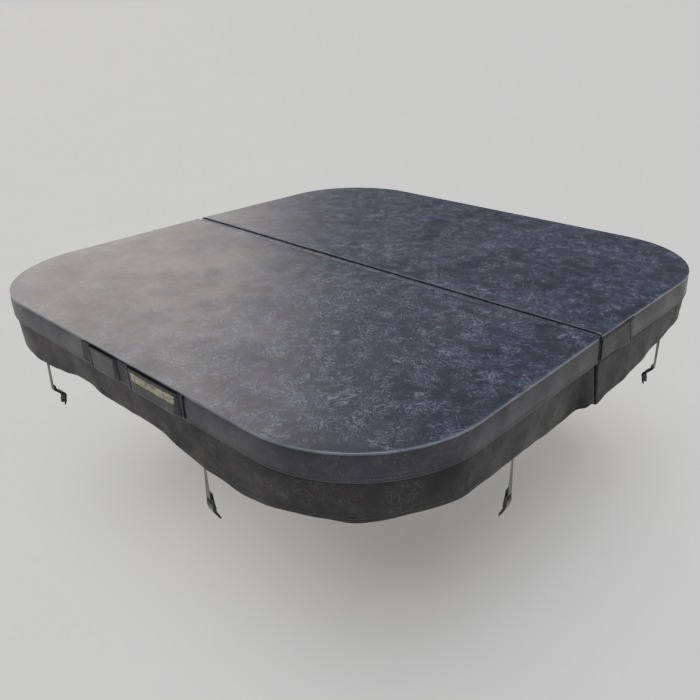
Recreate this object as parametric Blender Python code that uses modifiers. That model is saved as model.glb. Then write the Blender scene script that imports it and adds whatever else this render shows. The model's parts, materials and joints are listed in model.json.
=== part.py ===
"""A bi-fold spa cover: two foam halves in sewn vinyl jackets, hinged together along the fold.

Metres, +Z up. X runs along the fold, -Y is the front half, +Y the back half. The origin is the
middle of the fold, on the flat underside that rests on the spa's rim.
"""
import math

import bmesh
import bpy
from mathutils import Matrix, Vector

NAME = "spa_cover"

# ---- driving dimensions ----
HALF_SIDE = 1.000            # half of the cover's width, and of its length
CORNER_R = 0.390             # rounded corners in plan
CORNER_STEPS = 10            # straight steps round each corner
TOP_AT_FOLD = 0.086          # thickness at the fold
TOP_AT_EDGE = 0.081          # thickness at the outer edges, so that rain runs off
FOLD_GAP = 0.020             # between the two halves
GAP = 0.0003                 # between pieces that touch

VINYL = 0.0015               # sewn vinyl panels
LINER = 0.0012               # underside liner
WRAP = 0.0004                # plastic film round the foam
SEAM_INSET = 0.004           # skirt seam, in from the side band
SKIRT_DROP = 0.128
BACK_SKIRT_END = 0.006       # where each skirt stops, from the fold line
FRONT_SKIRT_END = 0.008

CHANNEL_LOW, CHANNEL_HIGH = 0.018, 0.066
CHANNEL_DEPTH = 0.026
CHANNEL_WALL = 0.0012
CHANNEL_END = 0.985

SEAL_HEIGHT = 0.018
SEAL_END = 0.955
ZIP_LOW, ZIP_HIGH = 0.028, 0.052
ZIP_END = 0.950
ZIP_TAPE = 0.0005
ZIP_TEETH_DEPTH, ZIP_TEETH_HEIGHT = 0.0013, 0.005
SLIDER_LENGTH = 0.009
PIPING_R = 0.0035
HINGE_DIP = 0.008

HANDLE_THICK = 0.003
HANDLE_STAND_OFF = 0.010     # finger room at the middle of each loop
LOOP_STEPS = 10
FRONT_HANDLE_LOOPS = ((-0.140, 0.025), (0.072, 0.330))
FRONT_HANDLE_ENDS = (-0.190, 0.338)
FRONT_HANDLE_HEIGHTS = (0.008, 0.077)
SIDE_HANDLE_LOOP = (0.085, 0.205)
SIDE_HANDLE_ENDS = (0.012, 0.220)
SIDE_HANDLE_HEIGHTS = (0.006, 0.081)
PATCH_ENDS = (0.100, 0.302)
PATCH_HEIGHTS = (0.041, 0.068)
PATCH_THICK = 0.0006

STRAP_WIDTH = 0.025
STRAP_THICK = 0.0014
STRAP_INSET = 0.028          # straps hang behind the skirt
STRAP_TOP = -0.002           # sewn edge, which each strap swings about
BAR_Z = -0.243               # the ladder bar that each strap loops round
LOW_BARS = {"front_right": -0.254, "right_front": -0.254}    # these straps are let out further
STRAP_LOOP_R = 0.0037        # inside radius of that loop
STRAP_TAIL = 0.016           # free end folded back up
LOOP_BEND_STEPS = 6
STRAPS_ON_FRONT = (-0.560, 0.351)
STRAPS_ON_SIDE = {"front": -0.415, "back": 0.541}

CLIP_THICK = 0.004
CLIP_HALF_WIDTH = 0.019
CLIP_TILT = 16               # degrees; the clips hang with their tips turned in
CLIP_TILTS = {"front_left": 18, "front_right": 13, "right_front": 13, "right_back": 18}
SLOT_HALF_WIDTH = 0.0138
BAR_HALF = 0.0021
PRONG_LENGTH = 0.039
CLIP_BODY_LENGTH = 0.041

TOP_SLOPE = (TOP_AT_FOLD - TOP_AT_EDGE) / HALF_SIDE
SIDES = {"back": 1, "front": -1}


# ---- scene and materials ----
def clear_scene():
    for obj in list(bpy.data.objects):
        bpy.data.objects.remove(obj, do_unlink=True)


def new_collection(name):
    collection = bpy.data.collections.new(name)
    bpy.context.scene.collection.children.link(collection)
    return collection


def finish(name, color, roughness, metallic=0.0):
    material = bpy.data.materials.new(name)
    material.use_nodes = True
    shader = material.node_tree.nodes["Principled BSDF"]
    shader.inputs["Base Color"].default_value = (*color, 1.0)
    shader.inputs["Roughness"].default_value = roughness
    shader.inputs["Metallic"].default_value = metallic
    return material


COLORS = {
    "top_vinyl": ((0.070, 0.088, 0.118), 0.42, 0.0),
    "side_vinyl": ((0.060, 0.062, 0.068), 0.50, 0.0),
    "liner": ((0.180, 0.190, 0.200), 0.75, 0.0),
    "foam": ((0.860, 0.870, 0.850), 0.85, 0.0),
    "film": ((0.780, 0.800, 0.820), 0.25, 0.0),
    "steel": ((0.560, 0.570, 0.580), 0.35, 1.0),
    "webbing": ((0.040, 0.040, 0.043), 0.80, 0.0),
    "plastic": ((0.018, 0.018, 0.020), 0.40, 0.0),
    "patch": ((0.330, 0.330, 0.270), 0.60, 0.0),
}
PARTS = None
CUTTERS = None


def top_z(y):
    """Height of the top surface, which falls a little from the fold to the outer edges."""
    return TOP_AT_FOLD - TOP_SLOPE * abs(y)


# ---- modelling helpers ----
def add_object(name, mesh, look, collection=None):
    obj = bpy.data.objects.new(name, mesh)
    (collection or PARTS).objects.link(obj)
    if look:
        color, roughness, metallic = COLORS[look]
        obj.data.materials.append(finish(name, color, roughness, metallic))
    return obj


def half_outline(side, inset, fold_y):
    """Plan of one half, from its right fold end round the outer edge to its left fold end."""
    edge = HALF_SIDE - inset
    radius = CORNER_R - inset
    centre = HALF_SIDE - CORNER_R
    right = [(edge, fold_y)]
    for step in range(CORNER_STEPS + 1):
        angle = math.radians(90) * step / CORNER_STEPS
        right.append((centre + radius * math.cos(angle), centre + radius * math.sin(angle)))
    left = [(-x, y) for x, y in reversed(right)]
    return [(x, side * y) for x, y in right + left]


def strip(name, path, sweep, thickness, outside, look, collection=None):
    """An open path swept along a vector, then given a thickness away from the point outside.

    The point is in front of the path's first face.
    """
    bm = bmesh.new()
    verts = [bm.verts.new(point) for point in path]
    edges = [bm.edges.new(pair) for pair in zip(verts, verts[1:])]
    swept = bmesh.ops.extrude_edge_only(bm, edges=edges)["geom"]
    moved = [part for part in swept if isinstance(part, bmesh.types.BMVert)]
    bmesh.ops.translate(bm, vec=Vector(sweep), verts=moved)
    bmesh.ops.recalc_face_normals(bm, faces=bm.faces)
    first = verts[0].link_faces[0]
    if first.normal.dot(Vector(outside) - first.calc_center_median()) < 0:
        bmesh.ops.reverse_faces(bm, faces=bm.faces)
    mesh = bpy.data.meshes.new(name)
    bm.to_mesh(mesh)
    bm.free()
    obj = add_object(name, mesh, look, collection)
    solid = obj.modifiers.new("thickness", "SOLIDIFY")
    solid.thickness = thickness
    solid.offset = -1
    solid.use_even_offset = True
    return obj


def outline_curve(name, outlines, thickness):
    """A flat filled outline in its own XY plane; outlines after the first are holes."""
    curve = bpy.data.curves.new(name, "CURVE")
    curve.dimensions = "2D"
    curve.fill_mode = "BOTH"
    curve.extrude = thickness / 2
    for outline in outlines:
        spline = curve.splines.new("POLY")
        spline.points.add(len(outline) - 1)
        spline.use_cyclic_u = True
        for point, (x, y) in zip(spline.points, outline):
            point.co = (x, y, 0, 1)
    return curve


def curve_to_mesh(name, curve, matrix, look, collection=None):
    """The curve's own solid as a closed mesh, put where the matrix says."""
    carrier = bpy.data.objects.new(name + "_outline", curve)
    CUTTERS.objects.link(carrier)
    carrier.matrix_world = matrix
    bpy.context.view_layer.update()
    evaluated = carrier.evaluated_get(bpy.context.evaluated_depsgraph_get())
    mesh = bpy.data.meshes.new_from_object(evaluated)
    mesh.name = name
    bm = bmesh.new()
    bm.from_mesh(mesh)
    bmesh.ops.remove_doubles(bm, verts=bm.verts, dist=0.00001)
    bmesh.ops.recalc_face_normals(bm, faces=bm.faces)
    bm.to_mesh(mesh)
    bm.free()
    mesh.materials.clear()
    obj = add_object(name, mesh, look, collection)
    obj.matrix_world = carrier.matrix_world
    bpy.data.objects.remove(carrier, do_unlink=True)
    return obj


def plate(name, outline, low, high, look):
    """A plan outline given the height from low to high; each is a number or a function of y."""
    thickness = 1.0
    matrix = Matrix.Identity(4)
    obj = curve_to_mesh(name, outline_curve(name, [outline], thickness), matrix, look)
    for vertex in obj.data.vertices:
        level = high if vertex.co.z > 0 else low
        vertex.co.z = level(vertex.co.y) if callable(level) else level
    return obj


def extrusion(name, profile, start_x, end_x, look, collection=None):
    """A profile in Y and Z, extruded along X."""
    along_x = Matrix(((0, 0, 1, (start_x + end_x) / 2), (1, 0, 0, 0), (0, 1, 0, 0), (0, 0, 0, 1)))
    curve = outline_curve(name, [profile], end_x - start_x)
    return curve_to_mesh(name, curve, along_x, look, collection)


def rectangle(low_x, high_x, low_y, high_y):
    return [(low_x, low_y), (high_x, low_y), (high_x, high_y), (low_x, high_y)]


def mirrored(profile, side):
    """A Y-Z profile drawn for the back half, turned over for the front half."""
    return [(side * y, z) for y, z in profile]


# ---- one half of the cover ----
def channel_path(grow):
    """Open C in Y and Z: its web faces the fold, and its two flanges run into the foam."""
    face = FOLD_GAP / 2 + VINYL + GAP - grow
    low, high = CHANNEL_LOW - grow, CHANNEL_HIGH + grow
    tip = face + CHANNEL_DEPTH + 2 * grow
    return [(tip, low), (face, low), (face, high), (tip, high)]


def channel(name, side, grow, end, look, collection=None):
    path = [(-end, side * y, z) for y, z in channel_path(grow)]
    thickness = CHANNEL_WALL + 2 * grow
    below = (0, side * 0.02, -1)
    return strip(name, path, (2 * end, 0, 0), thickness, below, look, collection)


def foam_core(half, side):
    inset = VINYL + WRAP + 2 * GAP
    fold_y = FOLD_GAP / 2 + VINYL + 2 * GAP
    low = LINER + WRAP + 2 * GAP
    under_top = VINYL + WRAP + 2 * GAP
    foam = plate(
        half + "_foam_core",
        half_outline(side, inset, fold_y),
        low,
        lambda y: top_z(y) - under_top,
        "foam",
    )
    cutter = channel(half + "_channel_slot", side, GAP, HALF_SIDE + 0.02, None, CUTTERS)
    cutter.hide_render = True
    cutter.display_type = "WIRE"
    cut = foam.modifiers.new("channel_slot", "BOOLEAN")
    cut.operation = "DIFFERENCE"
    cut.solver = "EXACT"
    cut.object = cutter


def vapour_wrap(half, side):
    """Film round the foam, open along the fold where the channel goes in."""
    inset = VINYL + GAP + WRAP
    fold_y = FOLD_GAP / 2 + VINYL + GAP
    bag = plate(
        half + "_vapour_wrap",
        half_outline(side, inset, fold_y),
        LINER + GAP + WRAP,
        lambda y: top_z(y) - VINYL - GAP - WRAP,
        "film",
    )
    bm = bmesh.new()
    bm.from_mesh(bag.data)
    mouth = [
        face for face in bm.faces
        if all(abs(abs(vert.co.y) - fold_y) < 0.00001 for vert in face.verts)
    ]
    bmesh.ops.delete(bm, geom=mouth, context="FACES")
    bm.to_mesh(bag.data)
    bm.free()
    solid = bag.modifiers.new("film", "SOLIDIFY")
    solid.thickness = WRAP
    solid.offset = 1
    solid.use_even_offset = True


def jacket(half, side):
    """The sewn jacket: top, side band, fold face and underside liner."""
    fold_y = FOLD_GAP / 2
    plate(
        half + "_top_panel",
        half_outline(side, 0, fold_y),
        lambda y: top_z(y) - VINYL,
        top_z,
        "top_vinyl",
    )
    plate(
        half + "_bottom_liner",
        half_outline(side, VINYL + GAP, fold_y),
        0,
        LINER,
        "liner",
    )
    band_path = [(x, y, 0) for x, y in half_outline(side, 0, fold_y)]
    band = strip(half + "_side_band", band_path, (0, 0, 1), VINYL, (2, 0, 0), "side_vinyl")
    for vertex in band.data.vertices:
        if vertex.co.z > 0.5:
            vertex.co.z = top_z(vertex.co.y) - VINYL - GAP
    face_end = HALF_SIDE - VINYL - GAP
    face_low, face_high = LINER + GAP, top_z(fold_y) - VINYL - GAP
    face = rectangle(fold_y, fold_y + VINYL, face_low, face_high)
    extrusion(half + "_fold_panel", mirrored(face, side), -face_end, face_end, "side_vinyl")


def skirt(half, side, fold_y):
    path = [(x, y, -GAP) for x, y in half_outline(side, SEAM_INSET, fold_y)]
    strip(half + "_skirt", path, (0, 0, -SKIRT_DROP), VINYL, (2, 0, 0), "side_vinyl")


def zip_closure(half, side):
    """Tape with its row of teeth on the fold face, and the slider at its closed end."""
    back = FOLD_GAP / 2 - GAP
    front = back - ZIP_TAPE
    teeth = front - ZIP_TEETH_DEPTH
    middle = (ZIP_LOW + ZIP_HIGH) / 2
    low, high = middle - ZIP_TEETH_HEIGHT / 2, middle + ZIP_TEETH_HEIGHT / 2
    profile = [
        (back, ZIP_LOW), (back, ZIP_HIGH), (front, ZIP_HIGH), (front, high),
        (teeth, high), (teeth, low), (front, low), (front, ZIP_LOW),
    ]
    extrusion(half + "_zip_tape", mirrored(profile, side), -ZIP_END, ZIP_END, "webbing")
    near = teeth - GAP
    far = near - 0.0032
    tab_near, tab_far = near - 0.0010, near - 0.0020
    slider = [
        (near, low), (near, high), (far, high), (far, low),
        (tab_far, low), (tab_far, low - 0.016), (tab_near, low - 0.016), (tab_near, low),
    ]
    end = ZIP_END - 0.020
    extrusion(half + "_zip_slider", mirrored(slider, side), end - SLIDER_LENGTH, end, "steel")


def build_half(half, skirt_end):
    side = SIDES[half]
    foam_core(half, side)
    vapour_wrap(half, side)
    channel(half + "_stiffener_channel", side, 0, CHANNEL_END, "steel")
    jacket(half, side)
    skirt(half, side, skirt_end)
    zip_closure(half, side)


# ---- what joins the halves ----
def fold_line():
    seal_low = -(FOLD_GAP / 2 - VINYL)
    seal_high = FOLD_GAP / 2 - GAP
    shoulder = 0.003
    profile = [
        (seal_low, 0), (seal_high, 0), (seal_high, SEAL_HEIGHT),
        (seal_low + shoulder, SEAL_HEIGHT), (seal_low, SEAL_HEIGHT - shoulder),
    ]
    extrusion("fold_seal", profile, -SEAL_END, SEAL_END, "liner")
    edge = FOLD_GAP / 2 - GAP - VINYL
    top = top_z(edge) - VINYL
    dip = [(-edge, top), (-edge * 0.6, top - HINGE_DIP * 0.7), (0, top - HINGE_DIP),
           (edge * 0.6, top - HINGE_DIP * 0.7), (edge, top)]
    path = [(-CHANNEL_END, y, z) for y, z in dip]
    strip("hinge_strip", path, (2 * CHANNEL_END, 0, 0), VINYL, (0, 0, 1), "top_vinyl")
    centre_y = FOLD_GAP / 2 + PIPING_R
    centre_z = top_z(centre_y) + PIPING_R + GAP
    bpy.ops.mesh.primitive_cylinder_add(
        vertices=12, radius=PIPING_R, depth=2 * CHANNEL_END,
        location=(0, centre_y, centre_z), rotation=(0, math.pi / 2, 0),
    )
    piping = bpy.context.object
    piping.name = "fold_piping"
    for collection in list(piping.users_collection):
        collection.objects.unlink(piping)
    PARTS.objects.link(piping)
    color, roughness, metallic = COLORS["top_vinyl"]
    piping.data.materials.append(finish("fold_piping", color, roughness, metallic))
    piping.data.shade_smooth()
    piping.data.set_sharp_from_angle(angle=math.radians(40))


# ---- handles ----
def loop_outline(ends, loops):
    """Run and stand-off of a handle strip: flat where stitched, bowed out over each loop."""
    points = [(ends[0], 0.0)]
    for low, high in loops:
        for step in range(LOOP_STEPS + 1):
            share = step / LOOP_STEPS
            bow = HANDLE_STAND_OFF * math.sin(math.pi * share) ** 2
            points.append((low + (high - low) * share, bow))
    points.append((ends[1], 0.0))
    return points


def handle(name, outline, heights, place, look, thickness=HANDLE_THICK):
    """A strip of doubled vinyl; place turns run and stand-off into a point in plan."""
    low, high = heights
    path = [(*place(run, off), low) for run, off in outline]
    outer = (*place(outline[0][0], 1.0), low)
    obj = strip(name, path, (0, 0, high - low), thickness, outer, look)
    obj.modifiers["thickness"].offset = 1
    return obj


def handles():
    def on_front(run, off):
        return run, -(HALF_SIDE + GAP + off)

    def on_right(run, off):
        return HALF_SIDE + GAP + off, run

    def on_left(run, off):
        return -(HALF_SIDE + GAP + off), run

    front = loop_outline(FRONT_HANDLE_ENDS, FRONT_HANDLE_LOOPS)
    side = loop_outline(SIDE_HANDLE_ENDS, (SIDE_HANDLE_LOOP,))
    handle("front_handle", front, FRONT_HANDLE_HEIGHTS, on_front, "side_vinyl")
    handle("back_right_handle", side, SIDE_HANDLE_HEIGHTS, on_right, "side_vinyl")
    handle("back_left_handle", side, SIDE_HANDLE_HEIGHTS, on_left, "side_vinyl")

    low, high = FRONT_HANDLE_LOOPS[1]
    cover = []
    for step in range(LOOP_STEPS + 1):
        run = PATCH_ENDS[0] + (PATCH_ENDS[1] - PATCH_ENDS[0]) * step / LOOP_STEPS
        bow = HANDLE_STAND_OFF * math.sin(math.pi * (run - low) / (high - low)) ** 2
        cover.append((run, bow + HANDLE_THICK + 2 * GAP))
    handle("front_handle_patch", cover, PATCH_HEIGHTS, on_front, "patch", PATCH_THICK)


# ---- straps and their clips ----
def clip_outlines():
    """Frame with a ladder bar at the top, a second slot, and two spring prongs with a guide."""
    body_end = -CLIP_BODY_LENGTH
    tip = body_end - PRONG_LENGTH
    right = [
        (0.0032, tip + 0.006), (0.0040, body_end), (0.0105, body_end), (0.0120, tip + 0.012),
        (0.0095, tip), (0.0150, tip), (0.0185, tip + 0.016), (0.0155, tip + 0.018),
        (0.0165, body_end), (CLIP_HALF_WIDTH, body_end + 0.003), (CLIP_HALF_WIDTH, BAR_HALF),
    ]
    left = [(-x, y) for x, y in reversed(right)]
    bar_slot = rectangle(-SLOT_HALF_WIDTH, SLOT_HALF_WIDTH, -0.0085, -BAR_HALF)
    tail_slot = rectangle(-SLOT_HALF_WIDTH, SLOT_HALF_WIDTH, -0.0175, -0.0125)
    return [right + left, bar_slot, tail_slot]


def strap_and_clip(tag, anchor, outward):
    inward = -Vector(outward)
    up = Vector((0, 0, 1))
    across = inward.cross(up)
    top = Vector((*anchor, STRAP_TOP))
    leg = STRAP_LOOP_R + STRAP_THICK
    bar_z = LOW_BARS.get(tag, BAR_Z)
    path = [top + across * (STRAP_WIDTH / -2)]
    for step in range(LOOP_BEND_STEPS + 1):
        angle = math.pi * step / LOOP_BEND_STEPS
        reach = inward * (leg - leg * math.cos(angle)) - up * (leg * math.sin(angle))
        path.append(Vector((*anchor, bar_z)) + reach - across * (STRAP_WIDTH / 2))
    path.append(path[-1] + up * STRAP_TAIL)
    outer = top - inward
    sweep = across * STRAP_WIDTH
    strip("strap_" + tag, path, sweep, STRAP_THICK, outer, "webbing")

    tilt = math.radians(CLIP_TILTS.get(tag, CLIP_TILT))
    turn = Matrix.Rotation(tilt, 4, across)
    face = Matrix((across, up, across.cross(up))).transposed().to_4x4()
    bar = Vector((*anchor, bar_z)) + inward * leg
    matrix = Matrix.Translation(bar) @ turn @ face
    curve_to_mesh("clip_" + tag, outline_curve("clip_" + tag, clip_outlines(), CLIP_THICK),
                  matrix, "plastic")


def straps():
    line = HALF_SIDE - STRAP_INSET
    for place, x in zip(("left", "right"), STRAPS_ON_FRONT):
        strap_and_clip("front_" + place, (x, -line), (0, -1, 0))
        strap_and_clip("back_" + place, (x, line), (0, 1, 0))
    for half, y in STRAPS_ON_SIDE.items():
        strap_and_clip("right_" + half, (line, y), (1, 0, 0))
        strap_and_clip("left_" + half, (-line, y), (-1, 0, 0))


clear_scene()
PARTS = new_collection(NAME)
CUTTERS = new_collection(NAME + "_cutters")
build_half("back", BACK_SKIRT_END)
build_half("front", FRONT_SKIRT_END)
fold_line()
handles()
straps()
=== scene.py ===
import json
from math import copysign, cos, exp, pi, radians, sin, sqrt

import bmesh
import bpy
from mathutils import Matrix, Vector, geometry, noise


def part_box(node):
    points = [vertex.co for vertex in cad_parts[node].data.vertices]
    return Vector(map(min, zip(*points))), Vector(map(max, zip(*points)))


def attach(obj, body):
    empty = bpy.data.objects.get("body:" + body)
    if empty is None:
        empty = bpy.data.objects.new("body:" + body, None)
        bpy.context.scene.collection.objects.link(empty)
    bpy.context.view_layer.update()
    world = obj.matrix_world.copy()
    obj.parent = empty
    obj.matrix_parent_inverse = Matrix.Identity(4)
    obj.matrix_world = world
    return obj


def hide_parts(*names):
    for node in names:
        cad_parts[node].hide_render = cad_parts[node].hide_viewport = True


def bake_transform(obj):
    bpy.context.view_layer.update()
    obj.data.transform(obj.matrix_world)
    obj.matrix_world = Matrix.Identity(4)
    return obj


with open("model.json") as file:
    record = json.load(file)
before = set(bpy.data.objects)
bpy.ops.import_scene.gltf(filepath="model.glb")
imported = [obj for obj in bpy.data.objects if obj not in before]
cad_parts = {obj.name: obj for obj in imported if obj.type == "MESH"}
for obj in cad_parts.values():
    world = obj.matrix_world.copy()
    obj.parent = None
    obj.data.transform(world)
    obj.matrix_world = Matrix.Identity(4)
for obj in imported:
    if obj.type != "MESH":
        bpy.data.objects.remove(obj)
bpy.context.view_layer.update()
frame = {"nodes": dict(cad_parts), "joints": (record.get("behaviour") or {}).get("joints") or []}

# Metres, in the frame of the CAD model: X runs along the fold, -Y is the front half, +Z is up.
HALF_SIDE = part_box("back_top_panel")[1].x
FOLD_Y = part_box("back_top_panel")[0].y  # half of the gap between the two halves
CORNER_R = 0.390
CORNER_CENTRE = HALF_SIDE - CORNER_R
TOP_AT_FOLD, TOP_SLOPE = 0.086, 0.005  # the top's height at the fold, and its fall away from it
FOLD_CORNER_R = 0.005  # the jackets' upright corners at the fold
STEP = 0.010  # spacing of points along the outer edge
VINYL = 0.0013  # thickness of the vinyl
SIDES = {"back": 1, "front": -1}


def top_z(y):
    """The height of the CAD model's top."""
    return TOP_AT_FOLD - TOP_SLOPE * abs(y)


def clamp(value, low, high):
    return max(low, min(high, value))


def smooth(value, start, end):
    """0 before start, 1 after end, and an even change between them."""
    t = clamp((value - start) / (end - start), 0.0, 1.0)
    return t * t * (3 - 2 * t)


def wobble(x, y, z):
    """Smooth noise, from about -1 to 1."""
    return noise.noise(Vector((x, y, z)))


def mm(*rows):
    """Rows of lengths given in millimetres."""
    return [[length / 1000 for length in row] for row in rows]


def through(points, at):
    """A smooth curve through a few (place, value) points."""
    if at <= points[0][0]:
        return points[0][1]
    for (a, low), (b, high) in zip(points, points[1:]):
        if at <= b:
            return low + (high - low) * smooth(at, a, b)
    return points[-1][1]


# ---- camera ----
def add_camera():
    """The photo's camera, solved from the cover's plan outline in it."""
    azimuth, elevation, roll = (radians(angle) for angle in (41.743, 23.336, -0.618))
    target, distance = Vector((0.397, -0.266, 0.078)), 2.366
    away = Vector((sin(azimuth) * cos(elevation),
                   -cos(azimuth) * cos(elevation), sin(elevation)))
    across = (-away).cross(Vector((0, 0, 1))).normalized()
    up = away.cross(across)
    right = across * cos(roll) + up * sin(roll)
    above = up * cos(roll) - across * sin(roll)
    data = bpy.data.cameras.new("camera")
    data.sensor_width = 36.0
    data.lens = 37.926
    data.shift_x = -0.0554
    data.shift_y = -0.0504
    data.clip_end = 2000
    camera = bpy.data.objects.new("camera", data)
    bpy.context.scene.collection.objects.link(camera)
    turn = Matrix((right, above, away)).transposed().to_4x4()
    camera.matrix_world = Matrix.Translation(target + away * distance) @ turn
    bpy.context.scene.camera = camera


add_camera()


# ---- mesh helpers ----
def new_object(name, data):
    obj = bpy.data.objects.new(name, data)
    bpy.context.scene.collection.objects.link(obj)
    return obj


def mesh_object(name, verts, faces, uvs=None, wear_and_painted_light_amounts=None):
    """A smooth-shaded mesh; uvs has one (u, v) for each vertex, and the wear and painted light
    amounts have one amount each.
    """
    mesh = bpy.data.meshes.new(name)
    mesh.from_pydata([tuple(v) for v in verts], [], faces)
    mesh.validate()
    for layer_name, values in (("cloth", uvs), ("mark", wear_and_painted_light_amounts and [(m, 0.5) for m in wear_and_painted_light_amounts])):
        if values:
            layer = mesh.uv_layers.new(name=layer_name)
            for loop in mesh.loops:
                layer.data[loop.index].uv = values[loop.vertex_index]
    mesh.shade_smooth()
    return new_object(name, mesh)


def grid_faces(rows, columns, closed=False, flip=False):
    faces = []
    for row in range(rows - 1):
        for column in range(columns if closed else columns - 1):
            after = (column + 1) % columns
            a, b = row * columns + column, row * columns + after
            face = (a, b, b + columns, a + columns)
            faces.append(face[::-1] if flip else face)
    return faces


def evaluated_mesh(obj):
    bpy.context.view_layer.update()
    return bpy.data.meshes.new_from_object(
        obj.evaluated_get(bpy.context.evaluated_depsgraph_get()))


def face_towards(obj, way):
    """Turn a sheet over unless its first face looks the given way."""
    if obj.data.polygons[0].normal.dot(Vector(way)) < 0:
        obj.data.flip_normals()


def thicken(obj, thickness):
    """Make a sheet solid by growing it against its normals."""
    solid = obj.modifiers.new("thickness", "SOLIDIFY")
    solid.thickness = thickness
    solid.offset = -1.0
    solid.use_even_offset = False
    solid.use_quality_normals = True
    mesh = evaluated_mesh(obj)
    obj.modifiers.clear()
    obj.data = mesh


def agree_normals(obj):
    """Turn all faces the same way, which is outward on a closed mesh."""
    bm = bmesh.new()
    bm.from_mesh(obj.data)
    bmesh.ops.recalc_face_normals(bm, faces=bm.faces)
    bm.to_mesh(obj.data)
    bm.free()


# ---- the plan outline of one half ----
def outline(side, fold_y, corner=0.0, closed=False):
    """Samples (point, outward, run) from the right fold end round the outer edge to the left.

    run is the way along the edge from the middle of the front or back edge, and grows to the
    right. With closed, the samples go on along the fold edge, back to the start.
    """
    samples = []

    def line(start, end, outward, spacing=STEP):
        start, end = Vector(start), Vector(end)
        count = max(1, round((end - start).length / spacing))
        for i in range(count):
            samples.append((start.lerp(end, i / count), Vector(outward)))

    def arc(centre, radius, start, end, count):
        for i in range(count):
            angle = radians(start + (end - start) * i / count)
            outward = Vector((cos(angle), sin(angle)))
            samples.append((Vector(centre) + outward * radius, outward))

    low = fold_y + corner
    steps = round(CORNER_R * pi / 2 / STEP)
    if corner:
        arc((HALF_SIDE - corner, low), corner, -90, 0, 4)
    line((HALF_SIDE, low), (HALF_SIDE, CORNER_CENTRE), (1, 0))
    arc((CORNER_CENTRE, CORNER_CENTRE), CORNER_R, 0, 90, steps)
    line((CORNER_CENTRE, HALF_SIDE), (-CORNER_CENTRE, HALF_SIDE), (0, 1))
    arc((-CORNER_CENTRE, CORNER_CENTRE), CORNER_R, 90, 180, steps)
    line((-HALF_SIDE, CORNER_CENTRE), (-HALF_SIDE, low), (-1, 0))
    if corner:
        arc((-HALF_SIDE + corner, low), corner, 180, 270, 4)
        if closed:
            line((-HALF_SIDE + corner, fold_y), (HALF_SIDE - corner, fold_y), (0, -1), 0.02)
        else:
            samples.append((Vector((-HALF_SIDE + corner, fold_y)), Vector((0, -1))))
    else:
        samples.append((Vector((-HALF_SIDE, low)), Vector((-1, 0))))
    runs = [0.0]
    for (a, _), (b, _) in zip(samples, samples[1:]):
        runs.append(runs[-1] + (b - a).length)
    middle = CORNER_CENTRE - low + CORNER_R * pi / 2 + CORNER_CENTRE
    if corner:
        middle += corner * pi / 2
    return [(Vector((p.x, side * p.y)), Vector((o.x, side * o.y)), middle - run)
            for (p, o), run in zip(samples, runs)]


# ---- materials ----
def add_node(tree, kind, inputs=None, **settings):
    """The outputs of a new shader node; its inputs are constants or other nodes' outputs."""
    new = tree.nodes.new("ShaderNode" + kind)
    for key, value in settings.items():
        setattr(new, key, value)
    for key, value in (inputs or {}).items():
        socket = new.inputs[key]
        if isinstance(value, bpy.types.NodeSocket):
            tree.links.new(value, socket)
        else:
            socket.default_value = (*value, 1.0) if socket.type == "RGBA" else value
    return new.outputs


class Material:
    """A Principled material whose colour, roughness and bump come from its own nodes."""

    def __init__(self, name, **constants):
        self.made = bpy.data.materials.new(name)
        self.made.use_nodes = True
        self.tree = self.made.node_tree
        self.bsdf = self.tree.nodes["Principled BSDF"]
        for key, value in constants.items():
            self.bsdf.inputs[key.replace("_", " ")].default_value = value
        self.place = self.node("TexCoord")["Object"]

    def node(self, kind, inputs=None, **settings):
        return add_node(self.tree, kind, inputs, **settings)

    def noise(self, scale, detail=2.0, roughness=0.5, distortion=0.0, at=None, output="Fac"):
        return self.node("TexNoise", {
            "Vector": at or self.place, "Scale": scale, "Detail": detail,
            "Roughness": roughness, "Distortion": distortion})[output]

    def cells(self, scale, output="Distance"):
        return self.node("TexVoronoi", {"Vector": self.place, "Scale": scale})[output]

    def math(self, operation, *values):
        return self.node("Math", dict(enumerate(values)), operation=operation)[0]

    def times(self, a, b):
        return self.math("MULTIPLY", a, b)

    def plus(self, a, b):
        return self.math("ADD", a, b)

    def vector(self, operation, a, b):
        second = "Scale" if operation == "SCALE" else 1
        return self.node("VectorMath", {0: a, second: b}, operation=operation)[0]

    def remap(self, value, low, high, to_low=0.0, to_high=1.0):
        return self.node("MapRange", {
            "Value": value, "From Min": low, "From Max": high, "To Min": to_low,
            "To Max": to_high}, interpolation_type="SMOOTHSTEP")["Result"]

    def spread(self, value, low, high):
        """A noise, most of which is between 0.3 and 0.7, as values from low to high."""
        return self.remap(value, 0.3, 0.7, low, high)

    def mix(self, share, a, b):
        return self.node("Mix", {0: share, 6: a, 7: b}, data_type="RGBA")[2]

    def over(self, colour, where, share, new):
        """A share of a new colour laid over another one."""
        return self.mix(self.times(where, share), colour, new)

    def weave(self, a, b, per_metre):
        """Threads that cross, from the ways along the cloth and across it."""
        return self.times(*(self.math("SINE", self.times(way, per_metre)) for way in (a, b)))

    def parts(self, vector):
        return self.node("SeparateXYZ", {"Vector": vector})

    def uv(self, layer):
        return self.node("UVMap", uv_map=layer)["UV"]

    def mark(self):
        """How much painted light or wear a piece carries here: painted shade in the handles'
        creases and sewn grooves, rubbed wear and a painted highlight on the covers' rims; 0 where a
        piece has none.
        """
        return self.parts(self.uv("mark"))[0]

    def bump(self, height, distance, strength):
        return self.node("Bump", {
            "Height": height, "Distance": distance, "Strength": strength})["Normal"]

    def finish(self, colour, roughness, normal=None):
        links = {"Base Color": colour, "Roughness": roughness, "Normal": normal}
        for socket, value in links.items():
            if value:
                self.tree.links.new(value, self.bsdf.inputs[socket])
        return self.made


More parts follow.
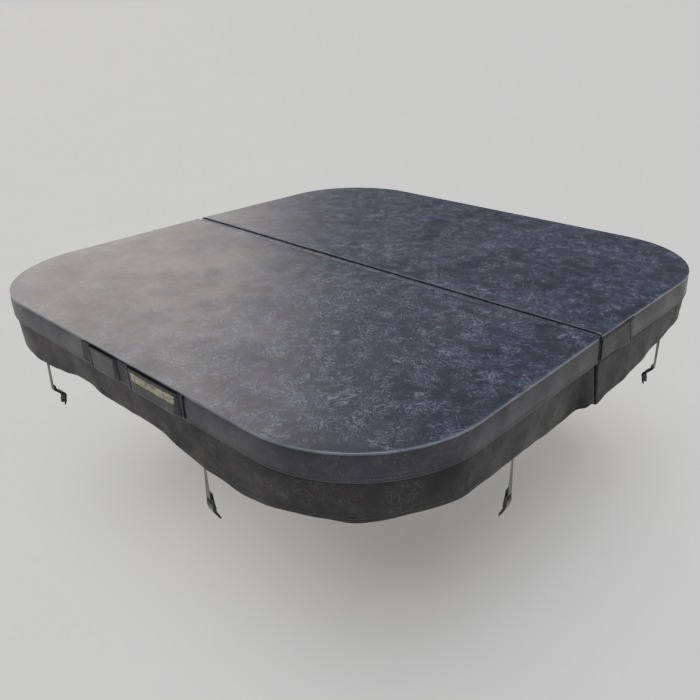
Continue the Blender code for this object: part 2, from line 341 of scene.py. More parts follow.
def contour_strokes(mat, place, scale, rings, width, break_scale, break_from):
    """Short curly strokes: thin contour lines of a noise, broken up by a second noise."""
    wave = mat.math("PINGPONG", mat.times(mat.noise(scale, 2, 0.5, 1.4, at=place), rings), 0.5)
    broken = mat.remap(mat.noise(break_scale, 1, at=place), break_from, break_from + 0.10)
    return mat.times(mat.remap(wave, 0.5 - width, 0.5), broken)


def crackle(mat, strength=1.0):
    """The lighter print on the vinyl: strokes that gather in cloudy patches."""
    place = mat.vector("ADD", mat.place, mat.vector("SCALE", mat.noise(4, output="Color"), 0.10))
    cloud, fine_cloud = (mat.remap(mat.noise(scale, 3, 0.6, at=place), 0.36, 0.64)
                         for scale in (4.2, 15))
    long_strokes = contour_strokes(mat, place, 10, 12, 0.15, 21, 0.42)
    short_strokes = contour_strokes(mat, place, 24, 7, 0.17, 40, 0.44)
    elsewhere = mat.vector("ADD", place, (3.1, 1.7, 0.4))
    tangle = contour_strokes(mat, elsewhere, 16, 9, 0.16, 29, 0.43)
    strokes = mat.math("MAXIMUM", mat.math("MAXIMUM", long_strokes, short_strokes), tangle)
    gathered = mat.plus(mat.times(fine_cloud, 0.65), mat.times(cloud, 0.25))
    amount = mat.times(mat.times(strokes, gathered), strength)
    return mat.math("MINIMUM", amount, 1.0), cloud, fine_cloud


def grain(mat):
    """Leather grain: pebbles about 1.5 mm across with finer creases."""
    height = mat.plus(mat.times(mat.cells(620), 0.7), mat.times(mat.noise(1500), 0.3))
    return mat.bump(height, 0.00025, 0.5)


def top_vinyl():
    """Blue-grey vinyl with the crackle print, a little dust, and rims lightened by rubbed wear and
    a painted highlight.
    """
    mat = Material("top_vinyl", IOR=1.5)
    strokes, cloud, fine_cloud = crackle(mat)
    colour = mat.mix(cloud, (0.013, 0.016, 0.029), (0.020, 0.024, 0.043))
    colour = mat.over(colour, fine_cloud, 0.45, (0.025, 0.029, 0.051))
    violet = mat.remap(mat.noise(11), 0.54, 0.68)
    colour = mat.over(colour, violet, 0.6, (0.025, 0.021, 0.040))
    colour = mat.mix(strokes, colour, (0.135, 0.150, 0.215))
    dust = mat.remap(mat.noise(2.3, 4, 0.65), 0.45, 0.75)
    colour = mat.over(colour, dust, 0.10, (0.09, 0.085, 0.08))
    # rubbed wear on the rims, lighter still as a painted highlight on the rim bead and the front
    # half's fold edge
    rubbed_and_lit = mat.times(mat.mark(), mat.remap(fine_cloud, 0, 1, 0.7, 1))
    colour = mat.mix(rubbed_and_lit, colour, (0.105, 0.112, 0.145))
    rough = mat.plus(mat.spread(mat.noise(7, 4, 0.6), 0.34, 0.44), mat.times(strokes, 0.06))
    return mat.finish(colour, rough, grain(mat))


def side_vinyl(name, dark, light, worn, roughness, ior, shaded_creases=False):
    """The plainer vinyl of the bands, handles and skirts, with a faint crackle; for the handles,
    also painted shade in their creases and sewn grooves.
    """
    mat = Material(name, IOR=ior)
    strokes, cloud, fine_cloud = crackle(mat, 0.40)
    colour = mat.over(mat.mix(cloud, dark, light), fine_cloud, 0.4, worn)
    colour = mat.mix(strokes, colour, (0.080, 0.081, 0.092))
    if shaded_creases:
        # painted shade: near black laid into the handles' creases and sewn grooves
        colour = mat.over(colour, mat.mark(), 0.92, (0.002, 0.002, 0.003))
    rough = mat.spread(mat.noise(9, 4, 0.6), roughness, roughness + 0.12)
    return mat.finish(colour, rough, grain(mat))


def piping_vinyl_painted_light():
    """The top's vinyl drawn tight round a cord, given a lighter colour than the top as painted
    light on the cord's shaded face.
    """
    mat = Material("piping_vinyl_painted_light", IOR=1.5)
    patchy = mat.noise(18, 3, 0.6)
    # painted light: a lighter colour than the top's vinyl, to lift the cord's shaded face
    colour = mat.mix(mat.remap(patchy, 0.35, 0.65), (0.044, 0.051, 0.074), (0.062, 0.070, 0.098))
    return mat.finish(colour, mat.spread(patchy, 0.36, 0.46), grain(mat))


def liner_cloth():
    """Grey reinforced underside cloth: a fine plain weave with faint blotches."""
    mat = Material("liner", IOR=1.45)
    x, y, _ = mat.parts(mat.place)
    threads = mat.weave(x, y, 2600)
    blotch = mat.remap(mat.noise(5, 4, 0.6), 0.35, 0.65)
    colour = mat.mix(blotch, (0.085, 0.090, 0.097), (0.118, 0.123, 0.130))
    colour = mat.mix(mat.remap(threads, -1, 1, 0, 0.25), colour, (0.155, 0.162, 0.170))
    rough = mat.spread(mat.noise(12, 3), 0.68, 0.80)
    return mat.finish(colour, rough, mat.bump(threads, 0.0003, 0.5))


def webbing():
    """Woven polypropylene: ribs along the strap, crossed by a herringbone."""
    mat = Material("webbing", IOR=1.45, Sheen_Weight=0.25)
    across, along, _ = mat.parts(mat.uv("cloth"))
    zigzag = mat.math("PINGPONG", across, 0.0030)
    twill = mat.math("SINE", mat.times(mat.plus(along, zigzag), 3900))
    ribs = mat.math("SINE", mat.times(across, 4200))
    height = mat.plus(mat.times(twill, 0.6), mat.times(ribs, 0.4))
    fuzz = mat.noise(300, 3)
    colour = mat.mix(mat.remap(height, -1, 1), (0.013, 0.013, 0.0145), (0.036, 0.036, 0.039))
    colour = mat.over(colour, fuzz, 0.35, (0.052, 0.051, 0.050))
    return mat.finish(colour, mat.spread(fuzz, 0.72, 0.90), mat.bump(height, 0.0004, 0.8))


def zip_cloth():
    """Black woven zip tape, a little dusty; the teeth have it too."""
    mat = Material("zip_cloth", IOR=1.48)
    x, _, z = mat.parts(mat.place)
    threads = mat.weave(x, z, 5200)
    colour = mat.mix(mat.remap(threads, -1, 1), (0.020, 0.020, 0.022), (0.040, 0.040, 0.043))
    dust = mat.remap(mat.noise(25, 4), 0.45, 0.7)
    colour = mat.over(colour, dust, 0.2, (0.10, 0.095, 0.09))
    return mat.finish(colour, mat.spread(mat.noise(60), 0.45, 0.70),
                      mat.bump(threads, 0.0002, 0.5))


def thread():
    """Twisted sewing thread, faded here and there."""
    mat = Material("thread", IOR=1.5, Sheen_Weight=0.3)
    ply = mat.noise(900)
    fade = mat.remap(mat.noise(6, 3), 0.4, 0.7, 0, 0.4)
    colour = mat.mix(ply, (0.026, 0.027, 0.032), (0.058, 0.060, 0.068))
    colour = mat.mix(fade, colour, (0.085, 0.082, 0.080))
    return mat.finish(colour, mat.remap(ply, 0.2, 0.8, 0.55, 0.75), mat.bump(ply, 0.0002, 0.6))


def patch_cloth():
    """Olive woven patch, unevenly worn."""
    mat = Material("patch", IOR=1.45)
    along, up, _ = mat.parts(mat.uv("cloth"))
    threads = mat.weave(along, up, 3600)
    worn = mat.remap(mat.noise(70, 4, 0.65), 0.36, 0.60)
    colour = mat.mix(worn, (0.075, 0.076, 0.050), (0.300, 0.300, 0.190))
    colour = mat.mix(mat.remap(threads, -1, 1, 0, 0.3), colour, (0.036, 0.036, 0.027))
    return mat.finish(colour, mat.remap(worn, 0, 1, 0.60, 0.80), mat.bump(threads, 0.0003, 0.6))


def plastic():
    """Black moulded acetal with a fine spark-eroded texture and light scuffs."""
    mat = Material("clip_plastic", IOR=1.38)
    scuff = mat.remap(mat.noise(140, 5, 0.7), 0.55, 0.75)
    colour = mat.mix(mat.noise(40), (0.004, 0.004, 0.0045), (0.008, 0.008, 0.009))
    colour = mat.over(colour, scuff, 0.20, (0.040, 0.040, 0.042))
    return mat.finish(colour, mat.spread(mat.noise(90, 3), 0.42, 0.58),
                      mat.bump(mat.noise(1400), 0.0001, 0.4))


def foam():
    """Expanded polystyrene: packed beads about 4 mm across."""
    mat = Material("foam", IOR=1.4, Subsurface_Weight=0.05)
    bead = mat.cells(240)
    colour = mat.mix(mat.remap(bead, 0.3, 0.8), (0.86, 0.87, 0.86), (0.70, 0.71, 0.70))
    return mat.finish(colour, mat.remap(bead, 0, 1, 0.75, 0.90), mat.bump(bead, -0.0006, 0.7))


def film():
    """Milky polythene film, crinkled where it is drawn round the foam."""
    mat = Material("film", IOR=1.5)
    crinkle = mat.noise(30, 5, 0.65, 1.5)
    colour = mat.mix(crinkle, (0.62, 0.65, 0.68), (0.78, 0.80, 0.82))
    return mat.finish(colour, mat.spread(crinkle, 0.16, 0.32), mat.bump(crinkle, 0.002, 0.6))


def steel():
    """Galvanised steel with its spangle."""
    mat = Material("steel", Metallic=1.0)
    tone = mat.parts(mat.cells(90, "Color"))[0]
    streak = mat.noise(60, 3, 0.6)
    colour = mat.mix(tone, (0.46, 0.47, 0.49), (0.62, 0.63, 0.65))
    colour = mat.mix(mat.remap(streak, 0.5, 0.8, 0, 0.4), colour, (0.40, 0.39, 0.37))
    return mat.finish(colour, mat.remap(tone, 0, 1, 0.28, 0.45), mat.bump(streak, 0.0002, 0.3))


TOP_VINYL = top_vinyl()
SIDE_VINYL = side_vinyl("side_vinyl", (0.0126, 0.0129, 0.0172), (0.0206, 0.0209, 0.0275),
                        (0.0275, 0.0265, 0.0318), 0.46, 1.36)
# The skirts' darker, warmer vinyl: partly their own tone, partly painted shade for hanging tucked
# in under the bands.
SKIRT_VINYL_PAINTED_SHADE = side_vinyl("skirt_vinyl_painted_shade", (0.0088, 0.0086, 0.0097), (0.0168, 0.0157, 0.0157),
                         (0.0232, 0.0210, 0.0196), 0.56, 1.30)
# The handles' vinyl, with painted shade in its creases and sewn grooves.
HANDLE_VINYL = side_vinyl("handle_vinyl", (0.0130, 0.0130, 0.0165), (0.0205, 0.0205, 0.0255),
                          (0.0265, 0.0255, 0.0290), 0.46, 1.34, shaded_creases=True)
PIPING_VINYL_PAINTED_LIGHT = piping_vinyl_painted_light()
LINER = liner_cloth()
WEBBING = webbing()
ZIP_CLOTH = zip_cloth()
THREAD = thread()
PATCH_CLOTH = patch_cloth()
PLASTIC = plastic()
FOAM = foam()
FILM = film()
STEEL = steel()


def place_piece(obj, body, material, slot, *nodes):
    """Give a piece its material and body, and hide the solids that it stands for; slot is not used.
    """
    obj.data.materials.clear()
    obj.data.materials.append(material)
    if body:
        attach(obj, body)
    if nodes:
        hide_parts(*nodes)


# ---- top covers and underside liners ----
# Each panel's rim in section, from its hidden edge: how far in, and how high above the surface.
EDGE_SECTION = mm((1.2, -6.2), (0.4, -5.0), (0, -3.6), (0.3, -1.8), (1.1, -0.3), (2.3, 0.7),
                  (3.7, 1.0), (5.1, 0.9), (6.6, 0.6), (8.4, 0.6), (11.0, 0.7))
EDGE_WEAR_AND_HIGHLIGHT = (0.0, 0.0, 0.2, 0.7, 1.0, 0.8, 0.3, 0.0, 0.0, 0.0, 0.0)  # how rubbed each row is, and how much painted highlight it gets
BEAD_RISE = 0.0014  # the front half's fold edge is sewn into a slight bead
FOLD_SECTION = mm((0, -10.0), (0, -7.5), (0.1, -5.0), (0.7, -2.6), (2.1, -0.8), (3.6, 0.2),
                  (5.0, 0.6), (6.2, 0.4), (7.5, 0.3), (9.0, 0.4), (11.0, 0.6))
LINER_SECTION = mm((2.6, 0.4), (3.0, -0.8), (4.0, -1.4), (5.5, -1.4), (7.0, -0.6), (11.0, -0.3))
CORNER_INSET = 0.0046  # a rim further in than this has square corners at the fold
PANEL_PITCH = 0.024  # spacing of the points inside a panel
SLACK_REACH = 0.09  # how far in from its rim a panel takes on its full unevenness


def cover_z(x, y, side):
    """The top surface: the CAD slope, and vinyl that isn't quite flat over the foam."""
    wide = wobble(x * 1.9 + 3 * side, y * 2.1, 0.7)
    close = wobble(x * 7.0, y * 7.0 + 5 * side, 3.0)
    return top_z(y) + 0.0015 + 0.0011 * wide + 0.0003 * close


def liner_z(x, y, side):
    """The liner hangs a little between the places where it is welded."""
    wide = wobble(x * 3.0 + 3 * side, y * 3.0, 5.7)
    close = wobble(x * 11.0, y * 11.0, 8.0)
    return -0.0009 - 0.0012 * wide - 0.0004 * close


def panel(name, half, edge_section, fold_section, base_z, inner_z, up):
    """A flat panel of one half with a shaped rim; its thickness goes to the foam's side.

    up is 1 for a top cover and -1 for a liner.
    """
    side = SIDES[half]
    rim = outline(side, FOLD_Y, FOLD_CORNER_R, closed=True)
    count = len(rim)
    fold_line = FOLD_Y + 0.6 * FOLD_CORNER_R
    verts, worn = [], []
    wear = EDGE_WEAR_AND_HIGHLIGHT if up > 0 else [0.0] * len(edge_section)
    for (edge_in, edge_z), (fold_in, fold_z), rubbed_and_lit in zip(edge_section, fold_section, wear):
        for point, outward, _ in rim:
            at_fold = abs(point.y) < fold_line
            # the rims' rubbed wear and painted highlight, row by row; none on the back half's fold
            # edge
            worn.append(rubbed_and_lit if half == "front" or not at_fold else 0.0)
            inset, rise = (fold_in, fold_z) if at_fold else (edge_in, edge_z)
            if at_fold and up > 0 and half == "front":
                rise += BEAD_RISE * rubbed_and_lit
            turning = abs(point.y) < FOLD_Y + FOLD_CORNER_R and 0 < abs(outward.x) < 0.999
            spot = point - outward * (min(inset, CORNER_INSET) if turning else inset)
            if turning and inset > CORNER_INSET:
                corner = Vector((copysign(HALF_SIDE, point.x), side * FOLD_Y))
                inner = corner + Vector((-copysign(inset, point.x), side * inset))
                spot = spot.lerp(inner, 0.8)
            verts.append((spot.x, spot.y, base_z(spot.y) + rise))
    faces = grid_faces(len(edge_section), count, closed=True)
    loop = [Vector(v[:2]) for v in verts[-count:]]
    inside, row = [], 0
    y = FOLD_Y + 0.030
    while y < HALF_SIDE - 0.020:
        reach = HALF_SIDE - PANEL_PITCH
        if y > CORNER_CENTRE:
            reach = CORNER_CENTRE + sqrt(max(
                0.0, (CORNER_R - 0.022) ** 2 - (y - CORNER_CENTRE) ** 2))
        columns = max(2, round(2 * reach / PANEL_PITCH))
        shift = 0.5 * (row % 2)
        for i in range(columns + 1 - row % 2):
            inside.append(Vector((-reach + 2 * reach * (i + shift) / columns, side * y)))
        y += PANEL_PITCH * 0.87
        row += 1
    points, _, triangles, origins, _, _ = geometry.delaunay_2d_cdt(
        loop + inside, [], [list(range(count))], 1, 0.00001)
    index = {}
    rim_start = len(verts) - count
    rim_rise = edge_section[-1][1]
    for i, (point, origin) in enumerate(zip(points, origins)):
        if origin and origin[0] < count:
            index[i] = rim_start + origin[0]
            continue
        index[i] = len(verts)
        gap = min(HALF_SIDE - abs(point.x), HALF_SIDE - abs(point.y), abs(point.y) - FOLD_Y)
        level = base_z(point.y) + rim_rise
        loose = inner_z(point.x, point.y, side)
        verts.append((point.x, point.y, level + (loose - level) * smooth(gap, 0, SLACK_REACH)))
        worn.append(0.0)
    faces += [[index[i] for i in triangle] for triangle in triangles]
    obj = mesh_object(name, verts, faces, wear_and_painted_light_amounts=worn)
    agree_normals(obj)
    middle = min(obj.data.polygons,
                 key=lambda face: (face.center.xy - Vector((0, 0.5 * side))).length)
    if middle.normal.z * up < 0:
        obj.data.flip_normals()
    thicken(obj, VINYL if up > 0 else 0.001)
    obj.data.shade_smooth()
    return obj


def cover_and_liner(half):
    cover = panel(half + "_cover", half, EDGE_SECTION, FOLD_SECTION, top_z, cover_z, 1)
    place_piece(cover, half + "_half", TOP_VINYL, "top_vinyl", half + "_top_panel")
    liner = panel(half + "_liner", half, LINER_SECTION, LINER_SECTION, lambda y: 0.0, liner_z, -1)
    place_piece(liner, half + "_half", LINER, "liner", half + "_bottom_liner")


for half in SIDES:
    cover_and_liner(half)


# ---- side bands and skirts ----
def ripple(run, side, length, seed):
    return wobble(run / length, 7.3 * side, seed)


# In section: inset from the outer edge, and height as a share of the band's own height.
BAND_SECTION = (
    (0.0014, 1.000), (0.0013, 0.975), (0.0010, 0.950), (0.0005, 0.91), (-0.0002, 0.83),
    (-0.0009, 0.66), (-0.0011, 0.52), (-0.0009, 0.38), (-0.0004, 0.26), (0.0001, 0.17),
    (0.0000, 0.11), (-0.0004, 0.075), (-0.0004, 0.045), (0.0004, 0.020), (0.0022, 0.006),
    (0.0046, 0.002),
)
BAND_TOP = 0.0052  # the band starts this far below the top surface
BAND_END = 0.0042  # the bands bulge past the fold faces, almost to the fold line


def side_band(half):
    """The band round one half, a little loose over the foam."""
    side = SIDES[half]
    rim = outline(side, BAND_END, FOLD_CORNER_R)
    verts, uvs = [], []
    for inset, share in BAND_SECTION:
        for point, outward, run in rim:
            height = top_z(point.y) - BAND_TOP
            loose = 4 * share * (1 - share)
            depth = inset - loose * (0.0016 * ripple(run, side, 0.17, 1.0)
                                     + 0.0007 * ripple(run, side, 0.05, 2.0))
            drop = 0.0
            if abs(point.y) < BAND_END + FOLD_CORNER_R:
                depth = clamp(depth, 0.0, 0.0025)
                drop = 0.0050 * (1 - smooth(share, 0.0, 0.10))
            spot = point - outward * depth
            verts.append((spot.x, spot.y, height * share - drop))
            uvs.append((run, height * share))
    faces = grid_faces(len(BAND_SECTION), len(rim), flip=side > 0)
    obj = mesh_object(half + "_band", verts, faces, uvs)
    thicken(obj, VINYL)
    place_piece(obj, half + "_half", SIDE_VINYL, "side_vinyl", half + "_side_band")


SKIRT_TOP, SKIRT_ROWS = -0.0006, 20
SKIRT_END = {"back": 0.003, "front": 0.004}  # each skirt's distance from the fold line
FLAP_CORNER, FLAP_LENGTH = 0.005, 0.030  # each skirt's end turns in under the fold
FLAP_RISE = 0.0050  # and reaches up behind the band's hem
# The next three tables go by run, in metres, and give lengths in millimetres.
# How far in from the band each skirt starts.
SKIRT_INSET = {
    "front": ((1.25, 5.5), (1.42, 7), (1.58, 13), (1.74, 14), (1.81, 9)),
    "back": ((1.30, 5.5), (1.50, 2.6), (1.83, 2.2)),
}
SKIRT_DEPTH = {  # how deep it hangs
    "front": (
        (-1.83, 128), (-1.50, 120), (-1.20, 122), (-0.90, 114), (-0.66, 116), (-0.50, 116),
        (-0.27, 97), (-0.06, 108), (0.16, 102), (0.36, 127), (0.52, 138), (0.76, 116), (0.88, 118),
        (1.04, 107), (1.24, 124), (1.42, 131), (1.60, 155), (1.70, 160), (1.76, 138), (1.83, 128),
    ),
    "back": (
        (-1.83, 128), (-1.40, 120), (-1.00, 130), (-0.60, 118), (-0.20, 132), (0.25, 122),
        (0.65, 132), (1.00, 112), (1.22, 95), (1.34, 112), (1.54, 128), (1.66, 137), (1.76, 139),
        (1.83, 143),
    ),
}
SKIRT_LEAN = {  # how far its hem leans out, or in where negative
    "front": (
        (-1.83, -4), (-1.70, -12), (-1.20, -16), (-0.80, -14), (-0.50, -6), (-0.25, -12),
        (0.15, -8), (0.50, -4), (0.75, -10), (0.95, -8), (1.30, -12), (1.42, -12), (1.58, -21),
        (1.70, -24), (1.765, -10), (1.79, 8), (1.83, 12),
    ),
    "back": (
        (-1.83, 2), (-1.60, -8), (-1.20, -12), (-0.60, -6), (0.00, -10), (0.60, -6), (1.20, -10),
        (1.50, 2), (1.74, 6), (1.83, 9),
    ),
}


def skirt_point(half, point, outward, run, down):
    """A place on the skirt's outer face; down is 0 at the seam and 1 at the hem."""
    side = SIDES[half]
    inset, depth, lean = (through(table[half], run) / 1000
                          for table in (SKIRT_INSET, SKIRT_DEPTH, SKIRT_LEAN))
    depth += 0.003 * ripple(run, side, 0.11, 4.0)
    wave = 0.0075 * ripple(run, side, 0.16, 5.0) + 0.0035 * ripple(run, side, 0.07, 6.0)
    crease = 0.0015 * wobble(run / 0.12, down * 1.7 + 9 * side, 8.0)
    out = lean * down ** 1.15 + wave * down ** 1.4 + crease * sin(pi * down)
    out += 0.0006 * smooth(down, 0.86, 0.90)  # the hem is doubled
    spot = point - outward * (inset - out)
    return Vector((spot.x, spot.y, SKIRT_TOP - depth * down))


def skirt(half):
    """The hanging skirt of one half, with a flap turned in at each end."""
    side = SIDES[half]
    rim = outline(side, SKIRT_END[half] + FLAP_CORNER)
    turn = []  # (inward, towards the fold, way along the cloth)
    for i in range(1, 5):
        angle = pi / 8 * i
        turn.append((FLAP_CORNER * (1 - cos(angle)), FLAP_CORNER * sin(angle),
                     FLAP_CORNER * angle))
    for i in range(1, 4):
        reach = FLAP_LENGTH * i / 3
        turn.append((FLAP_CORNER + reach, FLAP_CORNER, FLAP_CORNER * pi / 2 + reach))
    verts, uvs = [], []
    for row in range(SKIRT_ROWS + 1):
        line = [(skirt_point(half, point, outward, run, row / SKIRT_ROWS), run)
                for point, outward, run in rim]
        rise = FLAP_RISE * (1 - row / SKIRT_ROWS) ** 3
        for right, end in ((1, line[0]), (-1, line[-1])):
            flap = [(end[0] + Vector((-right * inward, -side * across,
                                      rise * smooth(inward, 0.0, FLAP_CORNER))),
                     end[1] + right * along) for inward, across, along in turn]
            line = flap[::-1] + line if right > 0 else line + flap
        verts += [spot for spot, _ in line]
        uvs += [(run, spot.z) for spot, run in line]
    faces = grid_faces(SKIRT_ROWS + 1, len(verts) // (SKIRT_ROWS + 1), flip=side > 0)
    obj = mesh_object(half + "_skirt_cloth", verts, faces, uvs)
    thicken(obj, VINYL)
    place_piece(obj, half + "_half", SKIRT_VINYL_PAINTED_SHADE, "side_vinyl", half + "_skirt")


for half in SIDES:
    side_band(half)
    skirt(half)


# ---- the fold: jacket faces, hinge, piping, zips and steam seal ----
def along_fold(name, section, reach, spacing, shift=None, closed=False):
    """A Y-Z section swept along X; shift moves a point by its place, and closed caps the ends."""
    columns = round(2 * reach / spacing) + 1
    verts, uvs = [], []
    for i in range(columns):
        x = -reach + 2 * reach * i / (columns - 1)
        for y, z in section:
            spot = Vector((x, y, z))
            verts.append(spot + shift(spot) if shift else spot)
            uvs.append((x, y))
    faces = grid_faces(columns, len(section), closed=closed)
    if closed:
        faces.append(list(range(len(section)))[::-1])
        faces.append(list(range(len(verts) - len(section), len(verts))))
    obj = mesh_object(name, verts, faces, uvs)
    agree_normals(obj)
    return obj


def ring(radius_y, radius_z, centre, count, power=2.0):
    """A rounded section; power above 2 makes it squarer."""
    def reach(value):
        return copysign(abs(value) ** (2 / power), value)

    angles = [2 * pi * i / count for i in range(count)]
    return [(centre[0] + radius_y * reach(cos(angle)),
             centre[1] + radius_z * reach(sin(angle))) for angle in angles]


def fold_face(half):
    """The jacket's inner side, behind the zip."""
    side = SIDES[half]
    low, high = 0.0017, top_z(FOLD_Y) - 0.0065
    section = [(side * (FOLD_Y + 0.0001), low + (high - low) * i / 6) for i in range(7)]

    def loose(spot):
        return Vector((0, side * 0.0004 * (1 + noise.noise(spot * 22)) * 0.5, 0))

    obj = along_fold(half + "_fold_face", section, HALF_SIDE - 0.0052, 0.02, loose)
    face_towards(obj, (0, -side, 0))
    thicken(obj, VINYL)
    place_piece(obj, half + "_half", SIDE_VINYL, "side_vinyl", half + "_fold_panel")


HINGE_REACH = 0.0086  # the hinge cloth's ends are sewn this far from the fold line
HINGE_SECTION = mm((-8.6, -3.0), (-7.6, -4.2), (-5.8, -5.0), (-3.0, -5.4), (0, -5.2),
                   (3.0, -4.4), (5.8, -3.0), (7.6, -1.8), (8.6, -0.8))


def hinge():
    """The puckered cloth sewn to both halves, where the cover bends when they fold; it is tied to
    neither half here.
    """
    def pucker(spot):
        share = 1 - (spot.y / HINGE_REACH) ** 2
        return Vector((0, 0, share * (0.0006 * sin(spot.x / 0.0052)
                                      + 0.0010 * wobble(spot.x * 14, 2, 2))))

    section = [(y, top_z(0) + z) for y, z in HINGE_SECTION]
    obj = along_fold("hinge_cloth", section, 0.994, 0.006, pucker)
    face_towards(obj, (0, 0, 1))
    thicken(obj, 0.0012)
    place_piece(obj, None, TOP_VINYL, "top_vinyl", "hinge_strip")
    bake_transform(obj)


def piping():
    """The cord sewn along the back half's fold edge; it bends down at its ends."""
    def wander(spot):
        low = smooth(abs(spot.x), 0.970, 0.995)
        return Vector((0, 0.0005 * wobble(spot.x * 9, 0, 4),
                       0.0004 * wobble(spot.x * 13, 3, 4) - 0.0022 * low))

    section = ring(0.0035, 0.0034, (0.0135, TOP_AT_FOLD + 0.0036), 14)
    obj = along_fold("piping_cord", section, 0.995, 0.008, wander, closed=True)
    place_piece(obj, "back_half", PIPING_VINYL_PAINTED_LIGHT, "top_vinyl", "fold_piping")


def seal():
    """The gasket that stops steam in the gap at the underside."""
    def squeeze(spot):
        return Vector((0, 0.0003 * wobble(spot.x * 20, spot.z * 40, 6),
                       0.0005 * wobble(spot.x * 8, 1, 6)))

    section = ring(0.0088, 0.0086, (0.0008, 0.0090), 24, 3.4)
    obj = along_fold("seal_gasket", section, 0.955, 0.012, squeeze, closed=True)
    place_piece(obj, "back_half", LINER, "liner", "fold_seal")


ZIP_MIDDLE, ZIP_REACH, TOOTH_PITCH = 0.040, 0.950, 0.0034
BOX_FACES = ((0, 1, 2, 3), (7, 6, 5, 4), (0, 4, 5, 1), (1, 5, 6, 2), (2, 6, 7, 3), (3, 7, 4, 0))


def zip_row(half):
    """Tape along the fold face, and two rows of teeth that mesh along its middle."""
    side = SIDES[half]
    back, front = FOLD_Y - 0.0004, FOLD_Y - 0.0010
    low, high = ZIP_MIDDLE - 0.012, ZIP_MIDDLE + 0.012
    section = [(side * back, low), (side * back, high), (side * front, high),
               (side * front, ZIP_MIDDLE), (side * front, low)]
    obj = along_fold(half + "_zip", section, ZIP_REACH, 0.02, closed=True)
    bm = bmesh.new()
    bm.from_mesh(obj.data)
    for i in range(int(2 * ZIP_REACH / TOOTH_PITCH)):  # one four-sided tooth at a time
        x = -ZIP_REACH + (i + 0.5) * TOOTH_PITCH
        up = 1 if i % 2 else -1
        corners = [
            bm.verts.new((x + dx * grow * TOOTH_PITCH * 0.42, side * depth, ZIP_MIDDLE + up * dz))
            for depth, grow in ((front, 1.0), (front - 0.0016, 0.7))
            for dx, dz in ((-1, -0.0006), (1, -0.0006), (0.75, 0.0024), (-0.75, 0.0024))]
        for face in BOX_FACES:
            bm.faces.new([corners[n] for n in face])
    bmesh.ops.recalc_face_normals(bm, faces=bm.faces)
    bm.to_mesh(obj.data)
    bm.free()
    obj.data.set_sharp_from_angle(angle=radians(35))
    place_piece(obj, half + "_half", ZIP_CLOTH, "webbing", half + "_zip_tape")


for half in SIDES:
    fold_face(half)
    zip_row(half)
hinge()
piping()
seal()


# ---- handles ----
# Each loop: where it starts and ends, and how far it takes to rise and to fall back.
FRONT_LOOPS = ((-0.140, 0.025, 0.006, 0.024), (0.072, 0.330, 0.006, 0.030))
FRONT_ENDS, FRONT_HEIGHTS = (-0.190, 0.338), (0.008, 0.077)
SIDE_LOOPS = ((0.085, 0.205, 0.085, 0.006),)
SIDE_ENDS, SIDE_HEIGHTS = (0.006, 0.220), (0.006, 0.082)
BOW = 0.0080  # finger room under a loop
FLAT_OFF = 0.0022  # how far the strip stands off the band where it is sewn down
SEWN_IN = 0.0030  # how much closer the top edge of a side handle comes
GROOVE_PITCH, GROOVE_DEPTH = 0.0075, 0.0016  # rows sewn through the strip between its loops
CREASE_WIDTH, CREASE_DEPTH = 0.0046, 0.0020  # the tight fold where a loop leaves the band
HANDLE_THICK, HANDLE_STEP = 0.0024, 0.0010


def bow_at(run, loops):
    """How far a loop has bowed out here, from 0 to 1."""
    for low, high, rise, fall in loops:
        if low < run < high:
            return smooth(run, low, low + rise) * (1 - smooth(run, high - fall, high))
    return 0.0


def groove_at(run, share, loops, upright):
    """How far into a sewn row this is, from 0 to 1."""
    phase = run / GROOVE_PITCH if upright else share * 5
    return exp(-((phase % 1.0 - 0.5) / 0.16) ** 2) * (1 - bow_at(run, loops)) ** 3


def crease_at(run, share, loops, upright):
    """How tightly creased the strip is, just inside a loop's ends, on slightly curved lines;
    painted shade follows it too.
    """
    curved = run + 0.004 * sin(2.6 * (share - 0.35))
    ends = [end for low, high, _, _ in loops
            for end in ((low + 0.019, high - 0.005) if upright else (high - 0.020,))]
    return max(exp(-((curved - end) / CREASE_WIDTH) ** 2) for end in ends)


def on_front(run, off, z):
    """A place off the front of the cover; the next two are off its right and left sides."""
    return Vector((run, -HALF_SIDE - off, z))


def on_right(run, off, z):
    return Vector((HALF_SIDE + off, run, z))


def on_left(run, off, z):
    return Vector((-HALF_SIDE - off, run, z))


# Each row's share of the strip's height, and how far it rises over the strip's flat face.
HANDLE_ROWS = ((0.0, 0.0012), (0.035, 0.0024), (0.10, 0.0028), (0.15, 0.0022), (0.22, 0.0022),
               (0.30, 0.0024), (0.38, 0.0025), (0.45, 0.0026), (0.52, 0.0026), (0.60, 0.0025),
               (0.68, 0.0024), (0.76, 0.0022), (0.84, 0.0021), (0.90, 0.0031), (0.965, 0.0028),
               (1.0, 0.0013))


def handle_off(run, share, loops, upright):
    """How far the strip's flat face stands off the band."""
    fullness = 0.90 if upright else 1.0 - 0.85 * share
    sewn_in = 0.0 if upright else SEWN_IN * smooth(share, 0.85, 1.0)
    return (FLAT_OFF - sewn_in + BOW * bow_at(run, loops) * fullness
            - GROOVE_DEPTH * groove_at(run, share, loops, upright)
            - CREASE_DEPTH * crease_at(run, share, loops, upright))


